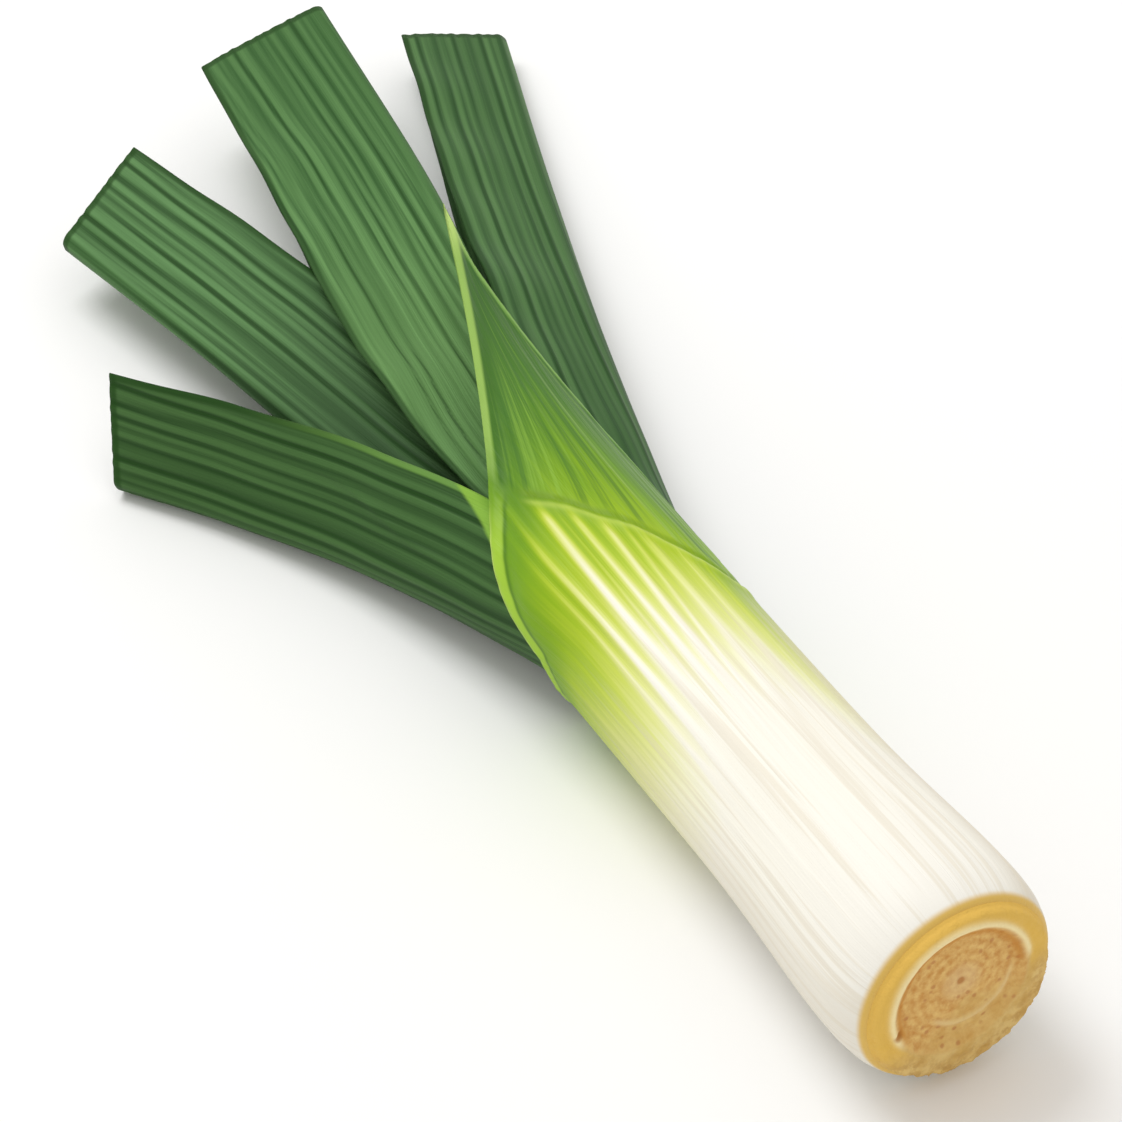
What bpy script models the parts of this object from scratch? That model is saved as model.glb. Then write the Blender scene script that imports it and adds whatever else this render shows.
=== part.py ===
"""A trimmed leek lying on its side: a white shaft that runs up into one pointed front leaf, a root plate at its
foot, and four folded leaf blades that come out of the shaft's neck and fan out over the surface.

The design is drawn in millimetres with the shaft's axis along +Y, the foot of the shaft at y = 0 and the surface that
the leek lies on at z = 0. An empty then carries everything so that the origin is the bottom centre of its box.
"""

import math

import bmesh
import bpy
import numpy as np
from mathutils import Vector

MM = 0.001
SHARP_ANGLE = math.radians(40)  # edges sharper than this are not shaded round

# The shaft: a round bundle, a little thicker at the foot, resting along its underside.
SHAFT_RADIUS = 20.0
BULGE = 2.1  # what the foot adds to the radius
BULGE_AT = 12.0  # where along the shaft the foot is thickest
BULGE_REACH = 27.0  # how far up the bulge fades out
SHOULDER = 11.0  # the foot rounds in over this length to meet the root plate
FOOT_RADIUS = 19.3
WALL = 1.4  # thickness of the outer leaf's sheath and of the front leaf
SOCKET_FLOOR = 99.0  # below this the shaft is solid; above it the inner leaves sit inside the sheath
SWAY = 0.041  # millimetres to the right for each one up the shaft, above a gentle bend at the foot
SWAY_FROM = 10.0
SWAY_EASE = 8.0  # length over which the bend comes in
NECK_CLEAR = 0.2  # how far the neck's underside is off the ground
SHAFT_SIDES = 48
CROWDING = 1.5  # above 1, the sides are finer towards the top, where the front leaf has its point
SHAFT_ROWS = (0.0, 1.5, 4.0, 8.0, 14.0, 24.0, 38.0, 60.0, 80.0, SOCKET_FLOOR)
WALL_ROWS = 9  # from the socket's floor to the rim

# The sheath's rim, round the neck, and the pointed leaf that rises from its top.
RIM_LEFT = 112.0
RIM_RIGHT = 116.0
POINT_LENGTH = 246.0
POINT_AT = 10.0  # degrees right of the top
POINT_SPREAD_LEFT = 99.0  # degrees of the neck that the front leaf grows from, on each side of its point
POINT_SPREAD_RIGHT = 58.0
POINT_CURVE_LEFT = 0.5  # below 1, the leaf's edge hollows in on its way up to the point
POINT_CURVE_RIGHT = 0.93
CUT_AT = -35.5  # left of this angle the leaf's edge drops to the rim, which lets the left outer leaf out
CUT_WIDTH = 10.0
POINT_LEAN = 31.0  # how far the point lies to the right of the shaft's foot
POINT_LEAN_CURVE = 2.5
POINT_DROP = 10.0  # how far the point lies below the top of the shaft
POINT_DROP_CURVE = 1.5

# The root plate: a disc with a spigot inside the shaft and a slightly domed face.
PLATE_RADIUS = 18.4
PLATE_RIM = 2.3
PLATE_DOME = 1.3
SPIGOT_RADIUS = 16.0
SPIGOT_DEPTH = 3.0
GAP = 0.3  # clearance between pieces that grow against each other

# The leaf blades, each a strip folded along its keel.
LEAF_THICKNESS = 1.3
LEAF_ROWS = 22
LEAF_COLUMNS = 11  # on each half of the fold
FOLD_CROWDING = 1.5  # above 1, the columns are finer towards the fold
NECK = (SOCKET_FLOOR + 4 * GAP, 113.0)  # along the shaft, where the leaf blades lie rolled up inside the sheath


def axis_height(y):
    """Height of the shaft's axis: the shaft lies on its underside from the thick foot to the neck."""
    lean = np.clip((y - BULGE_AT) / (RIM_LEFT - BULGE_AT), 0, 1)
    return SHAFT_RADIUS + BULGE * (1 - lean) + NECK_CLEAR * lean


def axis_offset(y):
    """How far the shaft's axis lies to the right: none at the foot, and a straight drift above its bend."""
    past = y - SWAY_FROM
    return SWAY * (np.sqrt(past**2 + SWAY_EASE**2) + past) / 2


def smooth(x):
    """Eases from 0 to 1 as x goes from 0 to 1."""
    x = np.clip(x, 0, 1)
    return x * x * (3 - 2 * x)


def through(values, t):
    """A curve through evenly spaced values, read at t from 0 to 1, that never swings past them: cubic pieces whose
    slope at each value is the harmonic mean of the slopes on its two sides, or level at a turning point."""
    values = np.asarray(values, float)
    if values.ndim == 1:
        values = values[:, None]
    rise = np.diff(values, axis=0)
    before, after = rise[:-1], rise[1:]
    same_way = before * after > 0
    mean = 2 * before * after / np.where(same_way, before + after, 1)
    slope = np.vstack([rise[:1], np.where(same_way, mean, 0), rise[-1:]])
    place = np.clip(t, 0, 1) * (len(values) - 1)
    piece = np.minimum(place.astype(int), len(values) - 2)
    u = (place - piece)[:, None]
    start, end = values[piece], values[piece + 1]
    return (
        start * (1 - 3 * u**2 + 2 * u**3)
        + end * (3 * u**2 - 2 * u**3)
        + slope[piece] * (u - 2 * u**2 + u**3)
        + slope[piece + 1] * (u**3 - u**2)
    )


def shaft_radius(y):
    """Outer radius of the shaft: level above, swelling to the foot and rounding in to the root plate."""
    bulge = BULGE * np.exp(-(((y - BULGE_AT) / BULGE_REACH) ** 2))
    inward = np.clip(1 - y / SHOULDER, 0, 1)
    at_foot = SHAFT_RADIUS + BULGE * math.exp(-((BULGE_AT / BULGE_REACH) ** 2)) - FOOT_RADIUS
    return SHAFT_RADIUS + bulge - at_foot * (1 - np.sqrt(1 - inward**2))


def rim_height(angle):
    """How far up the sheath's wall reaches at an angle round the shaft, in degrees from the top, right positive."""
    left = np.clip((POINT_AT - angle) / POINT_SPREAD_LEFT, 0, 1) ** POINT_CURVE_LEFT
    right = np.clip((angle - POINT_AT) / POINT_SPREAD_RIGHT, 0, 1) ** POINT_CURVE_RIGHT
    low = RIM_LEFT + (RIM_RIGHT - RIM_LEFT) * smooth(0.5 + angle / 180)
    edge = POINT_LENGTH - (POINT_LENGTH - low) * (left + right)
    return edge + (low - edge) * smooth((CUT_AT - angle) / CUT_WIDTH)


def sheath_point(angle, y, inset):
    """A point on the sheath or on the front leaf: round the axis, leaning right and drooping beyond the neck."""
    turn = np.radians(angle)
    radius = shaft_radius(y) - inset
    beyond = np.clip((y - RIM_LEFT) / (POINT_LENGTH - RIM_LEFT), 0, 1)
    lean = (POINT_LEAN - axis_offset(POINT_LENGTH)) * beyond**POINT_LEAN_CURVE
    x = axis_offset(y) + radius * np.sin(turn) + lean
    z = axis_height(y) + radius * np.cos(turn) - POINT_DROP * beyond**POINT_DROP_CURVE
    return np.stack([x, np.broadcast_to(y, x.shape), z], axis=-1)


def add_object(name, mesh, colour, roughness, carrier):
    material = bpy.data.materials.new(name)
    material.use_nodes = True
    shader = material.node_tree.nodes["Principled BSDF"]
    shader.inputs["Base Color"].default_value = (*colour, 1)
    shader.inputs["Roughness"].default_value = roughness
    mesh.materials.append(material)
    mesh.shade_smooth()
    mesh.set_sharp_from_angle(angle=SHARP_ANGLE)
    made = bpy.data.objects.new(name, mesh)
    bpy.context.scene.collection.objects.link(made)
    made.parent = carrier
    return made


def mesh_from_rings(name, rings, poles):
    """A closed skin over rings of points, one behind the other, with a fan to a pole at each end."""
    shape = bmesh.new()
    loops = [[shape.verts.new(point * MM) for point in ring] for ring in rings]
    sides = len(loops[0])
    for lower, upper in zip(loops, loops[1:]):
        for i in range(sides):
            j = (i + 1) % sides
            shape.faces.new((lower[i], lower[j], upper[j], upper[i]))
    for loop, pole in ((loops[0], poles[0]), (loops[-1], poles[1])):
        centre = shape.verts.new(Vector(pole) * MM)
        for i in range(sides):
            shape.faces.new((loop[i], centre, loop[(i + 1) % sides]))
    bmesh.ops.recalc_face_normals(shape, faces=shape.faces)
    mesh = bpy.data.meshes.new(name)
    shape.to_mesh(mesh)
    shape.free()
    return mesh


def shaft_mesh():
    """The shaft with its front leaf: up the outside, over the rim, down the inside of the sheath to its floor."""
    around = np.arange(SHAFT_SIDES) * 2 / SHAFT_SIDES - 1
    angle = POINT_AT + 180 * np.sign(around) * np.abs(around) ** CROWDING
    angle = (angle + 180) % 360 - 180
    rim = rim_height(angle)
    recess = SPIGOT_RADIUS + GAP
    rings = []
    for radius, y in ((recess, SPIGOT_DEPTH), (recess, 0.0)):
        turn = np.radians(angle)
        z = axis_height(0.0) + radius * np.cos(turn)
        x = axis_offset(0.0) + radius * np.sin(turn)
        rings.append(np.stack([x, np.full_like(turn, y), z], axis=-1))
    for y in SHAFT_ROWS:
        rings.append(sheath_point(angle, np.full_like(angle, y), 0.0))
    rows = np.linspace(0, 1, WALL_ROWS)
    for share in rows[1:]:
        rings.append(sheath_point(angle, SOCKET_FLOOR + (rim - SOCKET_FLOOR) * share, 0.0))
    for share in rows[::-1]:
        rings.append(sheath_point(angle, SOCKET_FLOOR + (rim - SOCKET_FLOOR) * share, WALL))
    poles = (
        (axis_offset(0.0), SPIGOT_DEPTH, axis_height(0.0)),
        (axis_offset(SOCKET_FLOOR), SOCKET_FLOOR, axis_height(SOCKET_FLOOR)),
    )
    return mesh_from_rings("shaft_and_front_leaf", rings, poles)


def root_plate_mesh():
    """The plate, turned about the shaft's axis: spigot, rim and domed face."""
    profile = [
        (SPIGOT_RADIUS, SPIGOT_DEPTH - GAP),
        (SPIGOT_RADIUS, -GAP),
        (PLATE_RADIUS - 0.4, -GAP),
        (PLATE_RADIUS, -GAP - 0.4 * PLATE_RIM),
        (PLATE_RADIUS - 0.5, -0.8 * PLATE_RIM),
        (PLATE_RADIUS - 2.0, -PLATE_RIM),
        (0.72 * PLATE_RADIUS, -PLATE_RIM - 0.4 * PLATE_DOME),
        (0.4 * PLATE_RADIUS, -PLATE_RIM - 0.85 * PLATE_DOME),
    ]
    turn = np.arange(SHAFT_SIDES) * 2 * math.pi / SHAFT_SIDES
    middle, centre = axis_offset(0.0), axis_height(0.0)
    rings = [
        np.stack([middle + r * np.sin(turn), np.full_like(turn, y), centre + r * np.cos(turn)], axis=-1)
        for r, y in profile
    ]
    poles = ((middle, SPIGOT_DEPTH - GAP, centre), (middle, -PLATE_RIM - PLATE_DOME, centre))
    return mesh_from_rings("root_plate", rings, poles)


def half_section(width, fold, turn, share):
    """Half of a folded leaf's section from the keel outwards, as (inward, up) pairs: it turns on the fold's radius
    until it has turned far enough, and then runs straight to the leaf's edge."""
    s = share[None, :] * width[:, None]
    fold, turn = fold[:, None], turn[:, None]
    bent = np.minimum(s, fold * turn)
    straight = s - bent
    inward = fold * (1 - np.cos(bent / fold)) + straight * np.sin(turn)
    up = fold * np.sin(bent / fold) + straight * np.cos(turn)
    return inward, up


def leaf_points(side, nest, nest_roll, keel, fold, turn, roll, width, lower, slant):
    """Rows of points across a folded leaf, from its lower edge over the keel to its upper edge.

    side is -1 for a keel on the left and 1 on the right. Inside the neck the leaf is an arc of radius nest round the
    shaft's axis. From there its keel runs freely, while the fold tightens and the halves open or close.
    """
    out, down = nest * math.cos(math.radians(nest_roll)), nest * math.sin(math.radians(nest_roll))
    in_neck = [(axis_offset(y) + side * out, y, axis_height(y) - down) for y in NECK]
    t = np.linspace(0, 1, LEAF_ROWS)
    centre = through(in_neck + keel, t)
    ahead = np.gradient(centre, axis=0)
    ahead /= np.linalg.norm(ahead, axis=1)[:, None]
    level = np.stack([ahead[:, 1], -ahead[:, 0], np.zeros(len(t))], axis=-1) * -side
    level /= np.linalg.norm(level, axis=1)[:, None]
    above = np.cross(level, ahead) * -side
    share = np.linspace(0, 1, LEAF_COLUMNS) ** FOLD_CROWDING
    fold = through([nest] * 2 + fold, t)[:, 0]
    turn = np.radians(through(turn[:1] + turn, t)[:, 0])
    width = through(width[:1] + width, t)[:, 0]
    upper_half = half_section(width, fold, turn, share)
    lower_half = half_section(width * through(lower[:1] + lower, t)[:, 0], fold, turn, share)
    inward = np.hstack([lower_half[0][:, :0:-1], upper_half[0]])
    up = np.hstack([-lower_half[1][:, :0:-1], upper_half[1]])
    tilt = np.radians(through([nest_roll] * 2 + roll, t))
    across = inward * np.cos(tilt) - up * np.sin(tilt)
    rise = inward * np.sin(tilt) + up * np.cos(tilt)
    along = slant * np.hypot(inward, up) * smooth((t[:, None] - 0.5) * 2)
    return (
        centre[:, None, :]
        + across[..., None] * level[:, None, :]
        + rise[..., None] * above[:, None, :]
        + along[..., None] * ahead[:, None, :]
    )


def leaf_mesh(name, **leaf):
    """The strip of a folded leaf, still without thickness."""
    shape = bmesh.new()
    rows = [[shape.verts.new(p * MM) for p in row] for row in leaf_points(**leaf)]
    for lower, upper in zip(rows, rows[1:]):
        for i in range(len(lower) - 1):
            shape.faces.new((lower[i], lower[i + 1], upper[i + 1], upper[i]))
    mesh = bpy.data.meshes.new(name)
    shape.to_mesh(mesh)
    shape.free()
    return mesh


# Each leaf has a keel route, and along it the fold's radius, the turn of each half and the roll in degrees, and the
# width of the upper half. lower is the lower half's share of that width, and slant the slope of the cut end.
LEAVES = {
    "left_outer_leaf": dict(
        side=-1,
        nest=17.3,
        nest_roll=22,
        keel=[(-17.5, 142, 9.8), (-26, 173, 5.2), (-40, 203, 2.5), (-54.8, 226.3, 2)],
        fold=[10.5, 6, 3.8, 2.6],
        turn=[96, 76, 69, 68, 68],
        roll=[32, 42, 46, 46],
        width=[28, 27.5, 27.5, 26.5, 24.5],
        lower=[0.6, 0.6, 0.7, 0.9, 1],
        slant=0.22,
    ),
    "right_outer_leaf": dict(
        side=1,
        nest=15.3,
        nest_roll=8,
        keel=[(29.3, 144, 16.5), (47.2, 199, 14.8), (68.7, 257, 10.5), (95.5, 325, 5)],
        fold=[10.5, 5, 3, 2.4],
        turn=[100, 80, 80, 83, 84],
        roll=[4, 8, 6, 2],
        width=[26, 22, 25.5, 26, 26],
        lower=[0.8, 0.9, 0.98, 0.98, 0.98],
        slant=-0.05,
    ),
    "right_inner_leaf": dict(
        side=1,
        nest=13.3,
        nest_roll=0,
        keel=[(20.5, 160, 20), (31, 214, 19), (42, 270, 21.5), (51, 332.5, 25)],
        fold=[7.6, 4.2, 2.4, 1.8],
        turn=[112, 88, 83, 84, 86],
        roll=[-2, -1, -3, -11],
        width=[27, 32, 37, 36, 32.5],
        lower=[1, 1, 0.92, 0.9, 0.93],
        slant=-0.25,
    ),
    "left_inner_leaf": dict(
        side=-1,
        nest=11.3,
        nest_roll=6,
        keel=[(-13.5, 146, 18.5), (-18.5, 190, 14.5), (-23.5, 236, 13), (-33, 295, 13)],
        fold=[3.6, 2.2, 1.8, 1.8],
        turn=[120, 92, 88, 86, 80],
        roll=[6, 9, 14, 12],
        width=[26, 28, 31, 30, 27.5],
        lower=[1, 0.98, 0.96, 0.96, 0.97],
        slant=0.27,
    ),
}

DARK_GREEN = (0.09, 0.20, 0.08)
SHAFT_CREAM = (0.86, 0.84, 0.72)
PLATE_TAN = (0.62, 0.44, 0.18)


def main():
    for old in list(bpy.data.objects):
        bpy.data.objects.remove(old)
    leek = bpy.data.objects.new("leek", None)
    bpy.context.scene.collection.objects.link(leek)
    pieces = [
        add_object("shaft_and_front_leaf", shaft_mesh(), SHAFT_CREAM, 0.4, leek),
        add_object("root_plate", root_plate_mesh(), PLATE_TAN, 0.8, leek),
    ]
    for name, leaf in LEAVES.items():
        made = add_object(name, leaf_mesh(name, **leaf), DARK_GREEN, 0.5, leek)
        skin = made.modifiers.new("leaf thickness", "SOLIDIFY")
        skin.thickness = LEAF_THICKNESS * MM
        skin.offset = 0
        skin.use_even_offset = True
        pieces.append(made)

    bpy.context.view_layer.update()
    graph = bpy.context.evaluated_depsgraph_get()
    corners = np.array([corner for piece in pieces for corner in piece.evaluated_get(graph).bound_box])
    low, high = corners.min(axis=0), corners.max(axis=0)
    leek.location = (-(low[0] + high[0]) / 2, -(low[1] + high[1]) / 2, -low[2])


main()
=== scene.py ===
"""The finished look of a trimmed leek: its shaft with the pointed front leaf, the cut root plate and four
folded leaf blades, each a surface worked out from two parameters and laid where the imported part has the
same piece.

Lengths are in millimetres in the part's own drawing, where the shaft's axis runs along +Y, the foot of the
shaft is y = 0 and the surface it lies on is z = 0. place() carries them to the frame in metres.
"""

import math

import bpy
import numpy as np
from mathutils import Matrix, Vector


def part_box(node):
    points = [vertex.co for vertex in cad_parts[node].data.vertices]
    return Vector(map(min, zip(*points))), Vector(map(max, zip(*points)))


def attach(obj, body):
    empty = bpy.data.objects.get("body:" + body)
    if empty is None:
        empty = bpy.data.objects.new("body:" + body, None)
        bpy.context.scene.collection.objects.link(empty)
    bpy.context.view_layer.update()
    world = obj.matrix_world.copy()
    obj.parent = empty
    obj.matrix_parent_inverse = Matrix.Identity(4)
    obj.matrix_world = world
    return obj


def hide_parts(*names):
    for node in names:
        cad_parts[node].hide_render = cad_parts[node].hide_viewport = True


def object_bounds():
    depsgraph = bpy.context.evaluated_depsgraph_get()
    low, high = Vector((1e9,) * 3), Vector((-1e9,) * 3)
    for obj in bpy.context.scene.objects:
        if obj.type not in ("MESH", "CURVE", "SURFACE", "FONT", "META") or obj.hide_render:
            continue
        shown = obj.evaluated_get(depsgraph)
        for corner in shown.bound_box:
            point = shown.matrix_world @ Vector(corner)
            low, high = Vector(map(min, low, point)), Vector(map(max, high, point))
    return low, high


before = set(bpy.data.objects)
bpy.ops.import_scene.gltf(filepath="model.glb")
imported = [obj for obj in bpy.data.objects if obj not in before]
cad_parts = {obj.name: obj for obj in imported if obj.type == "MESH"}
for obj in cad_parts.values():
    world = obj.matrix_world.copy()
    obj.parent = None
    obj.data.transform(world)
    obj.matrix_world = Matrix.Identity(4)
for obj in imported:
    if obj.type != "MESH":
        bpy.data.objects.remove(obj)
cad_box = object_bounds()

MM = 0.001
TURN = 2 * math.pi

# The shaft, as the part has it.
SHAFT_RADIUS = 20.0
BULGE = 2.1
BULGE_AT = 12.0
BULGE_REACH = 27.0
SHOULDER = 11.0
FOOT_RADIUS = 19.3
WALL = 1.4
NECK_CLEAR = 0.2  # how far the neck's underside is off the ground
SOCKET_FLOOR = 99.0
SWAY = 0.041  # to the right for each millimetre up the shaft, above a gentle bend at the foot
SWAY_FROM = 10.0
SWAY_EASE = 8.0
RIM_LEFT = 112.0  # how far up the sheath's rim is on the left, where the neck ends
POINT_LENGTH = 246.0
POINT_AT = 10.0  # degrees right of the top
POINT_LEAN = 31.0
POINT_LEAN_CURVE = 2.5
POINT_DROP = 10.0
POINT_DROP_CURVE = 1.5
GAP = 0.3
NECK = (SOCKET_FLOOR + 4 * GAP, 113.0)

# The root plate, as the part has it.
PLATE_RADIUS = 18.4
PLATE_RIM = 2.3
PLATE_DOME = 1.3


# ---------------------------------------------------------------- curves and fields

LATTICE = 256  # random heights each way, before they repeat


def smooth(x):
    """Eases from 0 to 1 as x goes from 0 to 1: x squared times (3 - 2x)."""
    x = np.clip(x, 0, 1)
    return x * x * (3 - 2 * x)


def bell(x, width):
    """A bump of height 1 round x = 0: e to the power of -(x / width) squared."""
    return np.exp(-((x / width) ** 2))


def through(values, t):
    """A curve through evenly spaced values, read at t from 0 to 1, that never swings past them: cubic
    pieces whose slope at each value is the harmonic mean of the slopes on its two sides, or level at a
    turning point."""
    values = np.asarray(values, float)
    if values.ndim == 1:
        values = values[:, None]
    rise = np.diff(values, axis=0)
    before, after = rise[:-1], rise[1:]
    same_way = before * after > 0
    mean = 2 * before * after / np.where(same_way, before + after, 1)
    slope = np.vstack([rise[:1], np.where(same_way, mean, 0), rise[-1:]])
    place_on = np.clip(t, 0, 1) * (len(values) - 1)
    piece = np.minimum(place_on.astype(int), len(values) - 2)
    u = (place_on - piece)[:, None]
    start, end = values[piece], values[piece + 1]
    return (
        start * (1 - 3 * u**2 + 2 * u**3)
        + end * (3 * u**2 - 2 * u**3)
        + slope[piece] * (u - 2 * u**2 + u**3)
        + slope[piece + 1] * (u**3 - u**2)
    )


def ripple(x, y, pitches, drift, seed):
    """Uneven waves across x that wander slowly along y, from about -1 to 1: a sum of sines of x, one for
    each pitch, whose phases swing with slow sines of y."""
    draw = np.random.default_rng(seed)
    total = 0
    for pitch in pitches:
        phase, swing, other = draw.uniform(0, TURN, 3)
        wander = np.sin(y / drift + swing) + 0.6 * np.sin(2.3 * y / drift + other)
        total = total + np.sin(TURN * x / pitch + phase + wander)
    return total / math.sqrt(len(pitches))


def grain_noise(x, y, cell, seed):
    """Smooth random heights from 0 to 1: a seeded table of values on a lattice of that cell, eased between
    them."""
    table = np.random.default_rng(seed).random((LATTICE, LATTICE))
    gx, gy = np.asarray(x) / cell, np.asarray(y) / cell
    ix, iy = np.floor(gx).astype(int), np.floor(gy).astype(int)
    fx, fy = smooth(gx - ix), smooth(gy - iy)

    def at(i, j):
        return table[(ix + i) % LATTICE, (iy + j) % LATTICE]

    return (at(0, 0) * (1 - fx) + at(1, 0) * fx) * (1 - fy) + (at(0, 1) * (1 - fx) + at(1, 1) * fx) * fy


# ---------------------------------------------------------------- the shaft's axis


def axis_height(y):
    """Height of the shaft's axis: the shaft lies on its underside from the thick foot to the neck."""
    lean = np.clip((y - BULGE_AT) / (RIM_LEFT - BULGE_AT), 0, 1)
    return SHAFT_RADIUS + BULGE * (1 - lean) + NECK_CLEAR * lean


def axis_offset(y):
    """How far the shaft's axis lies to the right: none at the foot, and a straight drift above its bend."""
    past = y - SWAY_FROM
    return SWAY * (np.sqrt(past**2 + SWAY_EASE**2) + past) / 2


# ---------------------------------------------------------------- meshes

plate_low, plate_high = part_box("root_plate")
shaft_low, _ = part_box("shaft_and_front_leaf")
ORIGIN = np.array(
    [
        (plate_low.x + plate_high.x) / 2 - axis_offset(0.0) * MM,
        shaft_low.y,
        (plate_low.z + plate_high.z) / 2 - (SHAFT_RADIUS + BULGE) * MM,
    ]
)


def place(points):
    """Millimetres in the drawing to metres in the frame."""
    return points * MM + ORIGIN


def grid_faces(rows, columns, closed):
    """Quads between neighbours of a grid of points numbered row by row, wrapping round each row when
    closed."""
    i = np.arange(rows - 1)[:, None]
    j = np.arange(columns if closed else columns - 1)[None, :]
    k = (j + 1) % columns
    corners = (i * columns + j, i * columns + k, (i + 1) * columns + k, (i + 1) * columns + j)
    return np.stack([np.broadcast_to(c, (rows - 1, j.shape[1])) for c in corners], axis=-1).reshape(-1, 4)


def end_faces(rows, sides):
    """Quads straight across the first and the last ring of a grid, which close its two ends."""
    near = np.arange(sides // 2 - 1)
    far = sides - 1 - near
    strip = np.stack([near, near + 1, far - 1, far], axis=1)
    return strip[:, ::-1], strip + (rows - 1) * sides


def outward(points, faces):
    """The faces, turned over if the volume that they enclose comes out negative: a sum of triple products."""
    a, b, c, d = (points[faces[:, n]] for n in range(4))
    volume = (np.cross(b - a, c - a) * a).sum() + (np.cross(c - a, d - a) * a).sum()
    return faces if volume > 0 else faces[:, ::-1]


def add_piece(name, points, faces, fields, finish, nodes):
    """A mesh of these points and quads in the frame, with a vector per point for each field, riding on the
    root."""
    points = np.asarray(points, float).reshape(-1, 3)
    faces = outward(points, np.asarray(faces))
    mesh = bpy.data.meshes.new(name)
    mesh.from_pydata(place(points).tolist(), [], faces.tolist())
    mesh.validate()
    for field, values in fields.items():
        layer = mesh.attributes.new(field, "FLOAT_VECTOR", "POINT")
        layer.data.foreach_set("vector", np.asarray(values, np.float32).reshape(-1))
    mesh.shade_smooth()
    mesh.materials.append(finish)
    piece = bpy.data.objects.new(name, mesh)
    bpy.context.scene.collection.objects.link(piece)
    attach(piece, "root")
    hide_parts(*nodes)


# ---------------------------------------------------------------- shader sums


class Wire:
    """A shader socket that takes part in sums: each operator adds a Math node to its finish."""

    def __init__(self, finish, socket):
        self.finish, self.socket = finish, socket

    def math(self, operation, *values):
        return self.finish.node("ShaderNodeMath", {"operation": operation}, dict(enumerate(values)))

    def __add__(self, other):
        return self.math("ADD", self, other)

    def __sub__(self, other):
        return self.math("SUBTRACT", self, other)

    def __rsub__(self, other):
        return self.math("SUBTRACT", other, self)

    def __mul__(self, other):
        return self.math("MULTIPLY", self, other)

    def __truediv__(self, other):
        return self.math("DIVIDE", self, other)

    def __pow__(self, other):
        return self.math("POWER", self, other)

    __radd__, __rmul__ = __add__, __mul__

    def sine(self):
        return self.math("SINE", self)

    def between(self, low, high):
        """0 below low and 1 above high, easing between: low may be the larger, which turns it round."""
        sockets = {"Value": self, "From Min": low, "From Max": high}
        return self.finish.node("ShaderNodeMapRange", {"interpolation_type": "SMOOTHSTEP"}, sockets)

    def bell(self, middle, width):
        """A bump of height 1 at the middle that fades over the width."""
        away = (self - middle) / width
        return self.math("EXPONENT", away * away * -1.0)


class Finish:
    """A material in the making, whose nodes all come from node(). Gloss is how strongly it mirrors the
    light."""

    def __init__(self, name, roughness, gloss=0.5):
        self.material = bpy.data.materials.new(name)
        self.material.use_nodes = True
        self.tree = self.material.node_tree
        self.shader = self.tree.nodes["Principled BSDF"]
        self.set("Roughness", roughness)
        self.set("Specular IOR Level", gloss)

    def put(self, socket, value):
        if isinstance(value, Wire):
            self.tree.links.new(value.socket, socket)
        elif socket.type == "RGBA" and len(value) == 3:
            socket.default_value = (*value, 1)
        else:
            socket.default_value = value

    def node(self, kind, settings, sockets, output=0):
        made = self.tree.nodes.new(kind)
        for name, value in settings.items():
            if name == "stops":
                ramp = made.color_ramp
                while len(ramp.elements) < len(value):
                    ramp.elements.new(0.5)
                for element, (at, colour) in zip(ramp.elements, value):
                    element.position, element.color = at, (*colour, 1)
            else:
                setattr(made, name, value)
        for name, value in sockets.items():
            self.put(made.inputs[name], value)
        return Wire(self, made.outputs[output])

    def set(self, socket, value):
        self.put(self.shader.inputs[socket], value)

    def field(self, name):
        """The three parts of a vector kept at the mesh's points."""
        vector = self.node("ShaderNodeAttribute", {"attribute_name": name}, {}, "Vector")
        return vector, [self.node("ShaderNodeSeparateXYZ", {}, {0: vector}, axis) for axis in range(3)]

    def joined(self, x, y, z):
        return self.node("ShaderNodeCombineXYZ", {}, {0: x, 1: y, 2: z})

    def stretched(self, vector, scale):
        return self.node("ShaderNodeVectorMath", {"operation": "MULTIPLY"}, {0: vector, 1: scale})

    def noise(self, vector, scale=1.0, detail=2.0, roughness=0.5, distortion=0.0):
        sizes = {"Scale": scale, "Detail": detail, "Roughness": roughness, "Distortion": distortion}
        return self.node("ShaderNodeTexNoise", {}, {"Vector": vector, **sizes})

    def cells(self, vector, scale):
        sockets = {"Vector": vector, "Scale": scale}
        return self.node("ShaderNodeTexVoronoi", {"feature": "F1"}, sockets, "Distance")

    def mix(self, share, one, other):
        """Goes from one colour to the other as share goes from 0 to 1."""
        settings = {"data_type": "RGBA", "clamp_factor": True}
        return self.node("ShaderNodeMix", settings, {0: share, 6: one, 7: other}, 2)

    def ramp(self, value, stops):
        return self.node("ShaderNodeValToRGB", {"stops": stops}, {0: value})

    def relief(self, height, depth):
        """The surface's normal over a height from 0 to 1 that stands for a depth in metres."""
        return self.node("ShaderNodeBump", {}, {"Strength": 1.0, "Distance": depth, "Height": height})


def shade(red, green, blue):
    """A colour as a painter's tube shows it, from 0 to 255, to the light that it gives back."""
    tube = [value / 255 for value in (red, green, blue)]
    return tuple(v / 12.92 if v <= 0.04045 else ((v + 0.055) / 1.055) ** 2.4 for v in tube)


# ---------------------------------------------------------------- the shaft and its front leaf

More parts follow.
